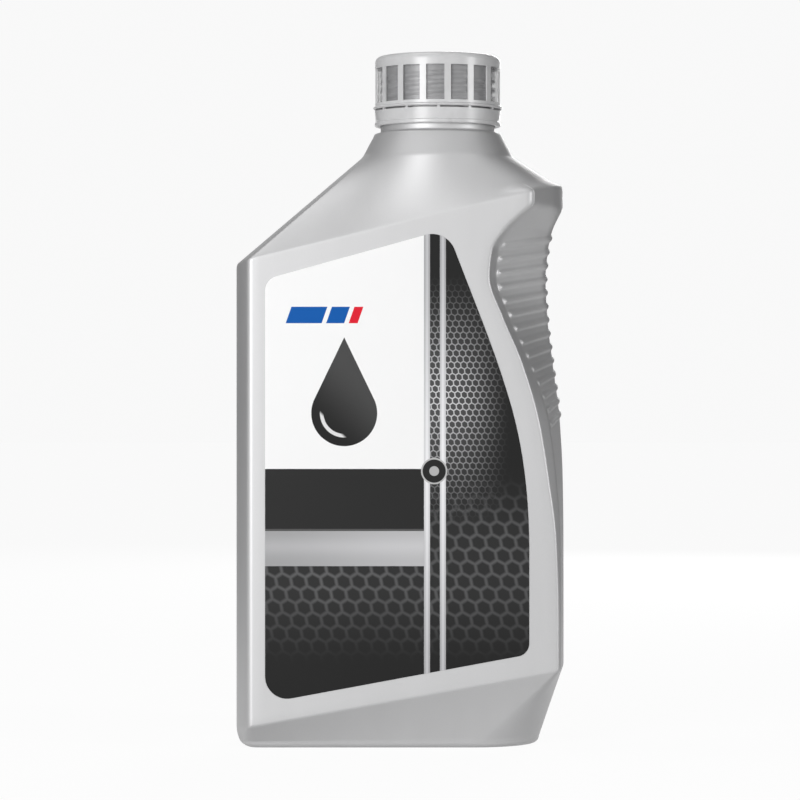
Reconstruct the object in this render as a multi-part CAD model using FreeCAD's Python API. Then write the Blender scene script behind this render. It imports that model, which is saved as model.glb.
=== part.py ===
import FreeCAD, Part

import math
import os

V = FreeCAD.Vector

# Motor oil bottle of one US quart. Millimetres, Z up, origin on the floor under the middle of the bottle.
# X runs across the front panel towards the grip, Y runs from the front panel to the back one.

# Body
WIDTH = 111.6               # across both sides
DEPTH = 57.6                # between the two flat panels
WALL = 1.0                  # blown wall
SHOULDER_SINK = 0.5         # drop of the hollow's shoulder edge for each millimetre of wall
FOOT_LIFT = 0.3             # rise of the hollow's foot edge for each millimetre of wall
ROOT_SINK = 0.75            # drop of the hollow's neck root for each millimetre of wall
ROOT_SHRINK = 0.8           # and how much narrower it is
SIDE_BULGE = 5.0            # how far the plain side bows out past the panels
SIDE_ROUND = 2.4            # rounding between a panel and the plain side
EDGE_ROUND = 1.4            # rounding of a panel's edge along the grip
SHOULDER_HEIGHT = 176.1     # upper edge of the panels at X = 0
SHOULDER_SLOPE = 0.24       # rise of that edge for each millimetre towards the grip
FOOT_HEIGHT = 16.8          # lower edge of the panels at X = 0
FOOT_SLOPE = 0.182          # rise of that edge for each millimetre towards the grip
CORNER_ROUND = 5.0          # rounding of the two shoulder corners, seen from the front

# Foot
BASE_DEPTH = 43.0           # between the front and back lines that the bottle stands on
BASE_RIGHT = 47.5           # reach of the base under the grip
BASE_STRAIGHT = 26.0        # where the base begins to curve round under the grip
BASE_CORNER = 6.0           # rounding of the base's corners at the plain side
HEEL_ROUND = 7.0            # rounding of the heel under the plain side
FLOOR_ROUND = 2.2           # rounding between the base and the foot
PUSH_UP = 2.6               # height of the hollow under the base
PUSH_UP_SPREAD = 1.2        # how far its side slopes in for each millimetre of height
RING_WIDTH = 9.5            # width of the ring that the bottle stands on

# Grip: heights, the panel's edge, the foot of the recess wall, its depth, the spine, the spine's radius
GRIP_STATIONS = (
    (42.0, 52.9, 53.9, 2.4, 55.8, 110.0),
    (70.0, 52.0, 53.7, 2.9, 55.8, 90.0),
    (90.0, 49.5, 52.4, 4.0, 55.6, 50.0),
    (110.0, 46.2, 49.8, 5.2, 54.6, 22.0),
    (130.0, 40.5, 42.6, 5.8, 52.1, 11.0),
    (145.0, 34.2, 36.0, 6.0, 50.4, 7.5),
    (158.0, 29.9, 31.7, 6.0, 49.8, 7.0),
    (167.0, 30.8, 32.6, 5.7, 50.5, 7.5),
    (174.0, 35.2, 36.9, 4.6, 51.9, 10.0),
    (182.0, 43.9, 45.3, 2.4, 55.6, 34.0),
)
STATION_STEP = 7.0          # greatest height between two sections of the grip
RIB_COUNT = 14
RIB_TOP = 171.9             # height of the highest rib at the spine
RIB_PITCH = 4.59
RIB_RISE = 4.6              # how much higher a rib is at the spine than at its ends
RIB_WIDTH = 1.7
RIB_PROUD = 0.7             # how far a rib stands out of the grip
RIB_START = 1.3             # from the foot of the recess wall to a rib's end

# Neck
NECK_X = 12.9
NECK_ROOT_RISE = 23.4       # from the panels' upper edge at X = 0 to where the neck's cone begins
NECK_ROOT_RADIUS = 25.8
COLLAR_RISE = 7.5           # height of the cone
COLLAR_RADIUS = 21.8
COLLAR_STEP = 0.9           # shelf on top of the cone
THROAT_RADIUS = 19.5        # between the cone and the locking bead
THROAT_ROUND = 0.5          # at the throat's foot
BEAD_DROP = 18.7            # from the mouth down to the bead
BEAD_RADIUS = 20.3
BEAD_HALF = 0.9             # half the height of the bead
FINISH_RADIUS = 18.4        # under the thread
MOUTH_RADIUS = 16.4
MOUTH_RISE = 24.6           # from the top of the cone to the mouth
MOUTH_BEVEL = 0.5
BORE_STEP = 2.2             # from the top of the cone up to the straight bore

# Thread, two starts
THREAD_LEAD = 6.0
THREAD_STARTS = 2
THREAD_DEPTH = 1.0
THREAD_CREST = 0.7          # width of the crest
THREAD_BASE = 1.5           # width at the root
THREAD_TURNS = 1.35
THREAD_SUNK = 0.2           # how deep a thread's root lies in its wall
THREAD_DROP = 12.0          # from the mouth down to the thread's start
THREAD_GAP = 0.3            # between the cap and the neck, all round

# Cap
CAP_HEIGHT = 18.1
CAP_RADIUS = 21.4           # over the ribs
CAP_RIBS = 16
CAP_RIB_WIDTH = 2.2
CAP_RIB_DEPTH = 0.75
CAP_RIB_TURN = 8.4          # degrees from straight ahead to the first rib on its right
CAP_PANEL_BOTTOM = 2.0      # above the cap's lower edge
CAP_PANEL_TOP = 13.9
CAP_RIM_RADIUS = 22.05
CAP_RIM_HEIGHT = 1.1
CAP_RIM_BEVEL = 0.4
CAP_TOP_ROUND = 2.0
CAP_TOP_WALL = 1.4
LINER_THICKNESS = 1.0
LINER_CLEARANCE = 0.5

# Tamper band
BAND_HEIGHT = 5.2
BAND_RADIUS = 21.5
BAND_WALL = 0.85
BAND_GAP = 0.6              # below the cap's rim, crossed by the bridges
BAND_LIP = 0.9              # height of the lip that catches under the bead
BAND_GROOVE = 0.3           # depth of the groove round its outside
BRIDGE_COUNT = 12
BRIDGE_WIDTH = 0.9

# Labels and oil
LABEL_THICKNESS = 0.15
LABEL_LEFT = -45.0
LABEL_BOTTOM_HEIGHT = 24.1  # lower edge at X = 0
LABEL_BOTTOM_SLOPE = 0.185
LABEL_TOP_HEIGHT = 169.6    # upper edge at X = 0
LABEL_TOP_SLOPE = 0.277
LABEL_SIDE = ((21.9, 157.5), (29.0, 139.1), (35.2, 121.2), (39.3, 106.0), (41.8, 90.6), (43.1, 68.0))
LABEL_TOP_ROUND = 5.0
LABEL_APEX_ROUND = 8.0
LABEL_LOWER_ROUND = 4.4     # under the grip
LABEL_HEEL_ROUND = 7.4      # under the plain side
OIL_LEVEL = 173.1
OIL_GAP = 0.15              # between the oil and the wall

NECK_ROOT = SHOULDER_HEIGHT + NECK_ROOT_RISE
COLLAR_HEIGHT = NECK_ROOT + COLLAR_RISE
MOUTH_HEIGHT = COLLAR_HEIGHT + MOUTH_RISE
BEAD_HEIGHT = MOUTH_HEIGHT - BEAD_DROP
NECK_THREAD_BOTTOM = MOUTH_HEIGHT - THREAD_DROP
CAP_BOTTOM = MOUTH_HEIGHT + LINER_THICKNESS + CAP_TOP_WALL - CAP_HEIGHT
CAP_INNER_RADIUS = FINISH_RADIUS + THREAD_DEPTH + THREAD_GAP
REACH = 400.0               # long enough to cut right through the bottle


def point(x, y, z=0.0):
    return V(x, y, z)


def smooth_value(z, column):
    """Value of one column of the grip's stations at a height, by a cubic that never overshoots."""
    rows = GRIP_STATIONS
    if z <= rows[0][0]:
        return rows[0][column]
    if z >= rows[-1][0]:
        return rows[-1][column]
    slopes = []
    for low, high in zip(rows, rows[1:]):
        slopes.append((high[column] - low[column]) / (high[0] - low[0]))
    tangents = [0.0]
    for before, after in zip(slopes, slopes[1:]):
        same_way = before * after > 0
        tangents.append(2 * before * after / (before + after) if same_way else 0.0)
    tangents.append(slopes[-1])
    index = max(i for i in range(len(slopes)) if rows[i][0] <= z)
    low, high = rows[index], rows[index + 1]
    span = high[0] - low[0]
    t = (z - low[0]) / span
    return (
        low[column] * (2 * t**3 - 3 * t**2 + 1)
        + high[column] * (3 * t**2 - 2 * t**3)
        + span * tangents[index] * (t**3 - 2 * t**2 + t)
        + span * tangents[index + 1] * (t**3 - t**2)
    )


def meet(p, p_way, q, q_way):
    """Point where two lines of a plan cross, each given by a point and a direction."""
    cross = p_way.x * q_way.y - p_way.y * q_way.x
    t = ((q.x - p.x) * q_way.y - (q.y - p.y) * q_way.x) / cross
    return p + p_way * t


def rounded(before, corner, after, radius):
    """Start, middle and end of the arc that rounds a corner between two straight lines."""
    way_in = (before - corner).normalize()
    way_out = (after - corner).normalize()
    half = way_in.getAngle(way_out) / 2
    start = corner + way_in * (radius / math.tan(half))
    end = corner + way_out * (radius / math.tan(half))
    centre = corner + (way_in + way_out).normalize() * (radius / math.sin(half))
    middle = centre + (corner - centre).normalize() * radius
    return start, middle, end


def grip_points(z, inset):
    """Plan of the grip at a height, in front of Y = 0: panel edge, wall foot, nose tangent, spine."""
    edge_x, foot_x, depth, spine_x, nose = (smooth_value(z, c) for c in range(1, 6))
    half = DEPTH / 2
    edge = point(edge_x, -half)
    foot = point(foot_x, depth - half)
    wall_way = (foot - edge).normalize()
    wall_in = point(-wall_way.y, wall_way.x) * inset
    centre = point(spine_x - nose, 0)

    def tangent_from(start, radius):
        reach = centre - start
        turn = math.atan2(reach.y, reach.x) - math.asin(radius / reach.Length)
        length = math.sqrt(reach.Length**2 - radius**2)
        return start + point(math.cos(turn), math.sin(turn)) * length

    floor_way = (tangent_from(foot, nose) - foot).normalize()
    floor_in = point(-floor_way.y, floor_way.x) * inset
    new_edge = meet(point(0, inset - half), point(1, 0), edge + wall_in, wall_way)
    new_foot = meet(edge + wall_in, wall_way, foot + floor_in, floor_way)
    tangent = tangent_from(new_foot, nose - inset)
    spine = point(spine_x - inset, 0)
    return new_edge, new_foot, tangent, spine


def mirrored(p):
    return point(p.x, -p.y, p.z)


def side_corner(half, corner, inset):
    """Arc in front of Y = 0 between the bowed plain side and a straight line at a given half depth."""
    bow = (DEPTH**2 / 4 + SIDE_BULGE**2) / (2 * SIDE_BULGE)
    bow_centre = point(bow - WIDTH / 2, 0)
    bow_radius = bow - inset
    corner_x = bow_centre.x - math.sqrt((bow_radius - corner)**2 - (half - corner)**2)
    corner_centre = point(corner_x, corner - half)
    outward = (corner_centre - bow_centre).normalize()
    side_end = bow_centre + outward * bow_radius
    middle = corner_centre + (outward + point(0, -1)).normalize() * corner
    return side_end, middle, point(corner_x, -half)


def body_section(z, inset):
    """Closed plan outline of the bottle's body at a height, set in by a given amount."""
    half = DEPTH / 2 - inset
    side_end, corner_middle, front_start = side_corner(half, max(SIDE_ROUND - inset, 0.5), inset)
    edge, foot, tangent, spine = grip_points(z, inset)
    edge_round = max(EDGE_ROUND - inset, 0.5)
    edge_in, edge_middle, edge_out = rounded(front_start, edge, foot, edge_round)

    def arc(a, b, c):
        return Part.Arc(a, b, c).toShape()

    side_middle = point(-WIDTH / 2 + inset, 0)
    front = [
        arc(side_end, corner_middle, front_start),
        Part.LineSegment(front_start, edge_in).toShape(),
        arc(edge_in, edge_middle, edge_out),
        Part.LineSegment(edge_out, foot).toShape(),
        Part.LineSegment(foot, tangent).toShape(),
    ]
    back = [
        Part.LineSegment(mirrored(tangent), mirrored(foot)).toShape(),
        Part.LineSegment(mirrored(foot), mirrored(edge_out)).toShape(),
        arc(mirrored(edge_out), mirrored(edge_middle), mirrored(edge_in)),
        Part.LineSegment(mirrored(edge_in), mirrored(front_start)).toShape(),
        arc(mirrored(front_start), mirrored(corner_middle), mirrored(side_end)),
    ]
    nose = arc(tangent, spine, mirrored(tangent))
    side = arc(mirrored(side_end), side_middle, side_end)
    wire = Part.Wire(front + [nose] + back + [side])
    wire.translate(point(0, 0, z))
    return wire


def body_column(inset):
    """The whole body before its shoulder and foot are cut: a prism, the lofted grip and a prism."""
    low = GRIP_STATIONS[0][0]
    high = GRIP_STATIONS[-1][0]
    steps = math.ceil((high - low) / STATION_STEP)
    heights = [low + (high - low) * i / steps for i in range(steps + 1)]
    grip = Part.makeLoft([body_section(z, inset) for z in heights], True, False)
    below = Part.Face(body_section(low, inset)).extrude(point(0, 0, -low - 10))
    above = Part.Face(body_section(high, inset)).extrude(point(0, 0, 40))
    return below, grip, above


def slanted_box(height, slope, above):
    """Everything above (or below) a plane that rises towards the grip."""
    box = Part.makeBox(REACH, REACH, REACH, point(-REACH / 2, -REACH / 2, 0 if above else -REACH))
    box.rotate(point(0, 0, 0), point(0, 1, 0), -math.degrees(math.atan(slope)))
    box.translate(point(0, 0, height))
    return box


def cut_face(solid, height, slope):
    """The flat face that a slanted cut leaves on the body."""
    normal = point(-slope, 0, 1).normalize()
    for face in solid.Faces:
        if face.Surface.TypeId != "Part::GeomPlane":
            continue
        off_plane = abs(normal.dot(face.CenterOfMass - point(0, 0, height)))
        off_angle = abs(abs(face.normalAt(0, 0).dot(normal)) - 1)
        if off_plane < 0.01 and off_angle < 1e-4:
            return face
    raise ValueError("the slanted cut left no face")


def outline_edges(face):
    """Edges of a face's outline, each with its first and last point."""
    return [(edge, edge.valueAt(edge.FirstParameter), edge.valueAt(edge.LastParameter))
            for edge in face.OuterWire.Edges]


def skirt(face, partner):
    """Solid between a face and a second flat outline, with one straight-ruled side for each edge.

    partner makes the edge of the second outline that belongs to an edge of the face.
    """
    sides = []
    others = []
    for edge, start, end in outline_edges(face):
        other = partner(edge, start, end)
        others.append(other)
        side = edge.Curve.toShape(edge.FirstParameter, edge.LastParameter)
        sides.append(Part.makeRuledSurface(side, other))
    far_face = Part.Face(Part.Wire(Part.__sortEdges__(others)))
    shell = Part.makeShell(sides + [face, far_face])
    shell.sewShape()
    solid = Part.makeSolid(shell)
    if solid.Volume < 0:
        solid.reverse()
    return solid


def circle_arc(centre, radius, start_angle, end_angle):
    """Arc between two angles, the short way round."""
    turn = (end_angle - start_angle + math.pi) % (2 * math.pi) - math.pi
    ends = []
    for share in (0, 0.5, 1):
        angle = start_angle + turn * share
        ends.append(centre + point(math.cos(angle), math.sin(angle)) * radius)
    return Part.Arc(*ends).toShape()


def neck_root(inset):
    """Height and radius of the circle where the shoulder meets the neck."""
    return NECK_ROOT - ROOT_SINK * inset, NECK_ROOT_RADIUS - ROOT_SHRINK * inset


def shoulder(face, inset):
    """Shoulder between the body's slanted top and the round root of the neck, along radial lines."""
    height, radius = neck_root(inset)
    centre = point(NECK_X, 0, height)

    def on_root(edge, start, end):
        angles = [math.atan2(p.y, p.x - NECK_X) for p in (start, end)]
        return circle_arc(centre, radius, *angles)

    return skirt(face, on_root)


def base_partner(inset):
    """Maker of the base's edges: what the foot's slanted outline comes down to."""
    half = BASE_DEPTH / 2 - inset
    right = BASE_RIGHT - inset
    end_radius = (half**2 + (right - BASE_STRAIGHT)**2) / (2 * (right - BASE_STRAIGHT))
    end_centre = point(right - end_radius, 0)
    end_angle = math.atan2(half, BASE_STRAIGHT - end_centre.x)
    side_end, corner_middle, front_start = side_corner(half, BASE_CORNER - inset, inset)
    body_half = DEPTH / 2 - inset

    def angle_at(p):
        share = min(1, abs(p.y) / body_half)
        return math.copysign(end_angle * (1 - math.sqrt(1 - share)), p.y)

    def place(p):
        """Point of the base below a point of the slanted outline."""
        if p.x > 0:
            return end_centre + point(math.cos(angle_at(p)), math.sin(angle_at(p))) * end_radius
        found = front_start if abs(p.y) > body_half - 1e-3 else side_end
        return mirrored(found) if p.y > 0 else found

    def on_base(edge, start, end):
        first, last = place(start), place(end)
        if start.x > 0 and end.x > 0:
            other = circle_arc(end_centre, end_radius, angle_at(start), angle_at(end))
        elif start.x * end.x < 0:
            other = Part.LineSegment(first, last).toShape()
        elif start.y * end.y < 0:
            other = Part.Arc(first, point(-WIDTH / 2 + inset, 0), last).toShape()
        else:
            middle = mirrored(corner_middle) if start.y > 0 else corner_middle
            other = Part.Arc(first, middle, last).toShape()
        other.translate(point(0, 0, inset + FLOOR_ROUND))
        return other

    return on_base


def set_in(outline, amount, height):
    """A flat outline set in by an amount and moved to a height."""
    wire = outline.makeOffset2D(-amount) if amount > 0 else outline.copy()
    wire.translate(point(0, 0, height - outline.BoundBox.ZMin))
    return wire


def rolled_edge(outline, inset):
    """Slab that rounds the foot's outline down to the floor in a quarter circle."""
    sections = []
    for angle in (0, 30, 60, 90):
        amount = FLOOR_ROUND * (1 - math.cos(math.radians(angle)))
        height = inset + FLOOR_ROUND * (1 - math.sin(math.radians(angle)))
        sections.append(set_in(outline, amount, height))
    return Part.makeLoft(sections, True, False)


def push_up(outline, grow):
    """Hollow under the base, or with grow the raised floor above it."""
    low = set_in(outline, RING_WIDTH - grow, -0.01)
    high = set_in(outline, RING_WIDTH + PUSH_UP_SPREAD * PUSH_UP - grow, PUSH_UP + grow)
    return Part.makeLoft([low, high], True, True)


def corner_cutter(before, corner, after, radius):
    """Prism along Y that rounds a corner of the front outline. Points are X and height."""
    start, middle, end = rounded(before, corner, after, radius)
    out = (corner - middle).normalize() * 30
    flat = [
        Part.Arc(start, middle, end).toShape(),
        Part.LineSegment(end, end + out).toShape(),
        Part.LineSegment(end + out, start + out).toShape(),
        Part.LineSegment(start + out, start).toShape(),
    ]
    face = Part.Face(Part.Wire(flat))
    face.rotate(point(0, 0), point(1, 0), 90)
    face.translate(point(0, DEPTH, 0))
    return face.extrude(point(0, -2 * DEPTH, 0))


def corner_cutters(inset):
    """Cutters for the two shoulder corners and for the heel, seen from the front."""
    half = WIDTH / 2 - inset
    height, radius = neck_root(inset)
    rise = SHOULDER_SLOPE * half
    top = SHOULDER_HEIGHT - SHOULDER_SINK * inset
    halfway = SHOULDER_HEIGHT / 2
    corner = max(CORNER_ROUND - inset, 0.5)
    return [
        corner_cutter(point(-half, halfway), point(-half, top - rise),
                      point(NECK_X - radius, height), corner),
        corner_cutter(point(half, halfway), point(half, top + rise),
                      point(NECK_X + radius, height), corner),
        corner_cutter(point(-half, halfway), point(-half, inset), point(0, inset), HEEL_ROUND - inset),
    ]


def body_form(inset):
    """Body, shoulder and foot as one solid, its whole skin set in by a given amount."""
    below, grip, above = body_column(inset)
    top_height = SHOULDER_HEIGHT - SHOULDER_SINK * inset
    foot_height = FOOT_HEIGHT + FOOT_LIFT * inset
    column = below.fuse([grip, above])
    middle = column.cut([slanted_box(top_height, SHOULDER_SLOPE, True),
                         slanted_box(foot_height, FOOT_SLOPE, False)]).Solids[0]
    top = shoulder(cut_face(middle, top_height, SHOULDER_SLOPE), inset)
    foot_face = cut_face(middle, foot_height, FOOT_SLOPE)
    foot = skirt(foot_face, base_partner(inset))
    outline = min(foot.Faces, key=lambda face: face.BoundBox.ZMax).OuterWire
    form = middle.fuse([top, foot, rolled_edge(outline, inset)])
    return form.cut(corner_cutters(inset) + [push_up(outline, inset)]).Solids[0]


def revolved(profile):
    """Solid turned about the neck's axis from a list of (radius, height) corners."""
    corners = [point(NECK_X + r, 0, z) for r, z in profile]
    face = Part.Face(Part.makePolygon(corners + corners[:1]))
    return face.revolve(point(NECK_X, 0, 0), point(0, 0, 1), 360)


def ring(inner, outer, bottom, top):
    return revolved([(inner, bottom), (outer, bottom), (outer, top), (inner, top)])


def disc(radius, bottom, top):
    return Part.makeCylinder(radius, top - bottom, point(NECK_X, 0, bottom))


def thread(root_radius, outward, bottom):
    """Both starts of a right-hand thread, on the outside of the neck or the inside of the cap."""
    side = 1 if outward else -1
    root = root_radius - side * THREAD_SUNK
    crest = root_radius + side * THREAD_DEPTH
    starts = []
    for index in range(THREAD_STARTS):
        helix = Part.makeHelix(THREAD_LEAD, THREAD_LEAD * THREAD_TURNS, root)
        corners = [
            point(root, 0, -THREAD_BASE / 2),
            point(crest, 0, -THREAD_CREST / 2),
            point(crest, 0, THREAD_CREST / 2),
            point(root, 0, THREAD_BASE / 2),
        ]
        turn = Part.Wire(helix.Edges).makePipeShell([Part.makePolygon(corners + corners[:1])], True, True)
        turn.rotate(point(0, 0), point(0, 0, 1), 360 * index / THREAD_STARTS)
        turn.translate(point(NECK_X, 0, bottom))
        starts.append(turn)
    return starts


def neck_solid():
    """Cone, collar, throat, locking bead and finish, before it is bored."""
    profile = [
        (0, NECK_ROOT),
        (NECK_ROOT_RADIUS, NECK_ROOT),
        (COLLAR_RADIUS, COLLAR_HEIGHT),
        (COLLAR_RADIUS - COLLAR_STEP, COLLAR_HEIGHT + COLLAR_STEP - 0.2),
        (THROAT_RADIUS + THROAT_ROUND, COLLAR_HEIGHT + COLLAR_STEP),
        (THROAT_RADIUS, COLLAR_HEIGHT + COLLAR_STEP + THROAT_ROUND),
        (THROAT_RADIUS, BEAD_HEIGHT - BEAD_HALF),
        (BEAD_RADIUS, BEAD_HEIGHT - 0.3 * BEAD_HALF),
        (BEAD_RADIUS, BEAD_HEIGHT + 0.1 * BEAD_HALF),
        (THROAT_RADIUS, BEAD_HEIGHT + 1.3 * BEAD_HALF),
        (FINISH_RADIUS, BEAD_HEIGHT + 2.4 * BEAD_HALF),
        (FINISH_RADIUS, MOUTH_HEIGHT - MOUTH_BEVEL - 0.1),
        (FINISH_RADIUS - MOUTH_BEVEL, MOUTH_HEIGHT),
        (0, MOUTH_HEIGHT),
    ]
    return revolved(profile)


def neck_hollow(inset):
    """Way through the neck down to the shoulder's hollow."""
    height, radius = neck_root(inset)
    profile = [
        (0, height),
        (radius, height),
        (COLLAR_RADIUS - 1.3 * inset, COLLAR_HEIGHT - inset),
        (MOUTH_RADIUS - (inset - WALL), COLLAR_HEIGHT + BORE_STEP),
        (MOUTH_RADIUS - (inset - WALL), MOUTH_HEIGHT + 1),
        (0, MOUTH_HEIGHT + 1),
    ]
    return revolved(profile)


def rib(spine_height):
    """Upright plate across the grip, folded so that it is highest at the spine."""
    fall = RIB_RISE / (DEPTH / 2)
    foot, tangent = grip_points(spine_height - RIB_RISE, 0)[1:3]
    reach = abs((foot + (tangent - foot).normalize() * RIB_START).y)
    half = RIB_WIDTH / 2
    corners = [
        point(0, 0, spine_height + half),
        point(0, reach, spine_height + half - fall * reach),
        point(0, reach, spine_height - half - fall * reach),
        point(0, 0, spine_height - half),
        point(0, -reach, spine_height - half - fall * reach),
        point(0, -reach, spine_height + half - fall * reach),
    ]
    face = Part.Face(Part.makePolygon(corners + corners[:1]))
    return face.extrude(point(WIDTH, 0, 0))


def grip_ribs():
    """All the ribs: plates trimmed by the grip's own form, grown by the height of a rib."""
    plates = [rib(RIB_TOP - index * RIB_PITCH) for index in range(RIB_COUNT)]
    grown = body_column(-RIB_PROUD)[1]
    return grown.common(Part.makeCompound(plates)).Solids


def bottle():
    """The blown bottle: outer form with ribs and neck, less the hollow inside."""
    outer = body_form(0).fuse(grip_ribs() + [neck_solid()])
    hollow = body_form(WALL).fuse(neck_hollow(WALL))
    shell = outer.cut(hollow)
    return shell.fuse(thread(FINISH_RADIUS, True, NECK_THREAD_BOTTOM))


def oil():
    """The fill, a hair clear of the wall."""
    inset = WALL + OIL_GAP
    return body_form(inset).common(Part.makeBox(REACH, REACH, OIL_LEVEL, point(-REACH / 2, -REACH / 2)))


def cap():
    """Cap with its ribs standing between sunk panels, its rim and its thread."""
    top = CAP_BOTTOM + CAP_HEIGHT
    rim_top = CAP_BOTTOM + CAP_RIM_HEIGHT
    shell = revolved([
        (0, CAP_BOTTOM),
        (CAP_RIM_RADIUS - CAP_RIM_BEVEL, CAP_BOTTOM),
        (CAP_RIM_RADIUS, CAP_BOTTOM + CAP_RIM_BEVEL),
        (CAP_RIM_RADIUS, rim_top - CAP_RIM_BEVEL),
        (CAP_RADIUS, rim_top),
        (CAP_RADIUS, top),
        (0, top),
    ])
    top_edge = [edge for edge in shell.Edges
                if edge.BoundBox.ZMin > top - 0.01 and edge.BoundBox.XMax > NECK_X + CAP_RADIUS - 0.1]
    shell = shell.makeFillet(CAP_TOP_ROUND, top_edge)
    panels = ring(CAP_RADIUS - CAP_RIB_DEPTH, CAP_RADIUS + 2,
                  CAP_BOTTOM + CAP_PANEL_BOTTOM, CAP_BOTTOM + CAP_PANEL_TOP)
    ribs = []
    for index in range(CAP_RIBS):
        bar = Part.makeBox(CAP_RIB_WIDTH, 2 * CAP_RADIUS, CAP_HEIGHT,
                           point(-CAP_RIB_WIDTH / 2, -2 * CAP_RADIUS, 0))
        bar.rotate(point(0, 0), point(0, 0, 1), CAP_RIB_TURN + 360 * index / CAP_RIBS)
        bar.translate(point(NECK_X, 0, CAP_BOTTOM))
        ribs.append(bar)
    shell = shell.cut(panels.cut(ribs))
    shell = shell.cut(disc(CAP_INNER_RADIUS, CAP_BOTTOM - 1, top - CAP_TOP_WALL))
    cap_thread_bottom = NECK_THREAD_BOTTOM - THREAD_LEAD / THREAD_STARTS / 2
    return shell.fuse(thread(CAP_INNER_RADIUS, False, cap_thread_bottom))


def cap_liner():
    return disc(CAP_INNER_RADIUS - LINER_CLEARANCE, MOUTH_HEIGHT, MOUTH_HEIGHT + LINER_THICKNESS)


def tamper_band():
    """Ring that stays on the neck, with a lip under the locking bead and bridges up to the cap."""
    top = CAP_BOTTOM - BAND_GAP
    bottom = top - BAND_HEIGHT
    inner = BAND_RADIUS - BAND_WALL
    lip = THROAT_RADIUS + THREAD_GAP
    band = revolved([
        (lip, bottom),
        (BAND_RADIUS - BAND_GROOVE, bottom),
        (BAND_RADIUS, bottom + BAND_GROOVE),
        (BAND_RADIUS, bottom + 4 * BAND_GROOVE),
        (BAND_RADIUS - BAND_GROOVE, bottom + 5 * BAND_GROOVE),
        (BAND_RADIUS, top),
        (inner, top),
        (inner, bottom + BAND_LIP + 2 * BAND_GROOVE),
        (lip, bottom + BAND_LIP),
    ])
    bridges = []
    for index in range(BRIDGE_COUNT):
        bridge = Part.makeBox(BAND_WALL - 0.2, BRIDGE_WIDTH, BAND_GAP + 0.3,
                              point(inner + 0.1, -BRIDGE_WIDTH / 2, top - 0.3))
        bridge.rotate(point(0, 0), point(0, 0, 1), 360 * index / BRIDGE_COUNT)
        bridge.translate(point(NECK_X, 0, 0))
        bridges.append(bridge)
    return band.fuse(bridges)


def label(front):
    """Printed film on a panel, its grip side following the panel's edge."""

    def top_at(x):
        return point(x, LABEL_TOP_HEIGHT + LABEL_TOP_SLOPE * x)

    def bottom_at(x):
        return point(x, LABEL_BOTTOM_HEIGHT + LABEL_BOTTOM_SLOPE * x)

    side = [point(x, z) for x, z in LABEL_SIDE]
    right = side[-1].x
    apex = meet(side[0], side[0] - side[1], top_at(0), point(1, LABEL_TOP_SLOPE))
    corners = [
        rounded(bottom_at(0), bottom_at(LABEL_LEFT), top_at(LABEL_LEFT), LABEL_HEEL_ROUND),
        rounded(bottom_at(LABEL_LEFT), top_at(LABEL_LEFT), apex, LABEL_TOP_ROUND),
        rounded(top_at(LABEL_LEFT), apex, side[0], LABEL_APEX_ROUND),
        rounded(side[-1], bottom_at(right), bottom_at(LABEL_LEFT), LABEL_LOWER_ROUND),
    ]
    curve = Part.BSplineCurve()
    curve.interpolate([corners[2][2]] + side)
    ends = [
        Part.Arc(*corners[0]).toShape(),
        Part.LineSegment(corners[0][2], corners[1][0]).toShape(),
        Part.Arc(*corners[1]).toShape(),
        Part.LineSegment(corners[1][2], corners[2][0]).toShape(),
        Part.Arc(*corners[2]).toShape(),
        curve.toShape(),
        Part.LineSegment(side[-1], corners[3][0]).toShape(),
        Part.Arc(*corners[3]).toShape(),
        Part.LineSegment(corners[3][2], corners[0][0]).toShape(),
    ]
    face = Part.Face(Part.Wire(ends))
    face.rotate(point(0, 0), point(1, 0), 90)
    face.translate(point(0, -DEPTH / 2 if front else DEPTH / 2))
    return face.extrude(point(0, -LABEL_THICKNESS if front else LABEL_THICKNESS))


def main():
    os.makedirs("parts", exist_ok=True)
    nodes = {
        "bottle": bottle(),
        "cap": cap(),
        "cap_liner": cap_liner(),
        "tamper_band": tamper_band(),
        "oil": oil(),
        "front_label": label(True),
        "back_label": label(False),
    }
    for name, shape in nodes.items():
        solid = shape.Solids[0] if len(shape.Solids) == 1 else shape
        print(name, solid.ShapeType, len(shape.Solids), solid.isValid(), round(solid.Volume / 1000, 2), "cm3")
        solid.exportStep(f"parts/{name}.step")


if __name__ == "__main__":
    main()
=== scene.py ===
import math

import bpy
import numpy as np
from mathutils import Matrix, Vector


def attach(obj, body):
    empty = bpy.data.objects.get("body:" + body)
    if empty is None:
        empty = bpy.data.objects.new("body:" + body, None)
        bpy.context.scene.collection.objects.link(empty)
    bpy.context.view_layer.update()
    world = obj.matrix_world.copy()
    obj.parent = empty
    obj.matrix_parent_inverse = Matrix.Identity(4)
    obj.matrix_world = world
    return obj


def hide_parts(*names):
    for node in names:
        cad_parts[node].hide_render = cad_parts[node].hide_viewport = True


# The dressed motor oil bottle. Sizes are millimetres until a mesh is made, and plans are complex
# numbers, X + iY, so that a turn or a shift of a whole outline is one product or sum.

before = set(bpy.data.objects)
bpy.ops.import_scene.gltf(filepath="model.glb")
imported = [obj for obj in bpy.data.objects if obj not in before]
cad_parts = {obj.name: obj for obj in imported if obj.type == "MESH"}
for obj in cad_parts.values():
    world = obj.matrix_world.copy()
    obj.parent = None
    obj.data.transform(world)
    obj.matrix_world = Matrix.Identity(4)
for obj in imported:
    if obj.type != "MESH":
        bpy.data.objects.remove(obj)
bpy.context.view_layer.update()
MM = 0.001

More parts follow.
